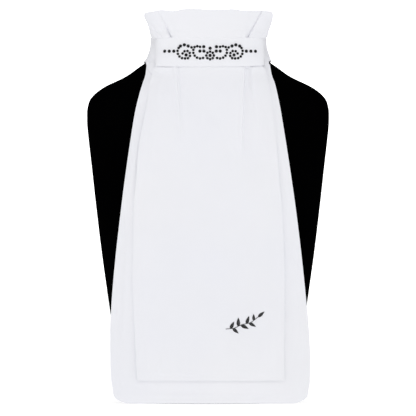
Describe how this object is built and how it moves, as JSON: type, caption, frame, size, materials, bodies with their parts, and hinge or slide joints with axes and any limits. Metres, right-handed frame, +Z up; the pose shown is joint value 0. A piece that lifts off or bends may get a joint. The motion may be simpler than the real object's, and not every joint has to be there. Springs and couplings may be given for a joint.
{
  "type": "stock tie on a neck display bust",
  "caption": "White ready-tied stock tie for riding: pleated frill and flap pinched by a cross band with a black crystal scroll, a wider rear flap behind, shown on a plain black neck bust.",
  "frame": {"origin": "middle of the whole part's base, on the surface that the bust stands on", "axes": "+Z up along the neck, -Y towards the front of the tie, +X to the right as the tie is seen from the front"},
  "size_m": [0.2558, 0.1275, 0.4149],
  "materials": {
    "black_velvet": "black velvet stretched over the bust, matt",
    "white_cloth": "white fine-woven cotton blend, pressed, slightly cool white",
    "white_closure": "white hook-and-loop strip",
    "black_crystal": "jet black cut glass, opaque, polished facets"
  },
  "bodies": {
    "root": {"neck_bust": "black_velvet", "neckband": "white_cloth", "neckband_fastener": "white_closure", "rear_flap": "white_cloth", "front_panel": "white_cloth", "crystal_band": "white_cloth"}
  },
  "joints": []
}
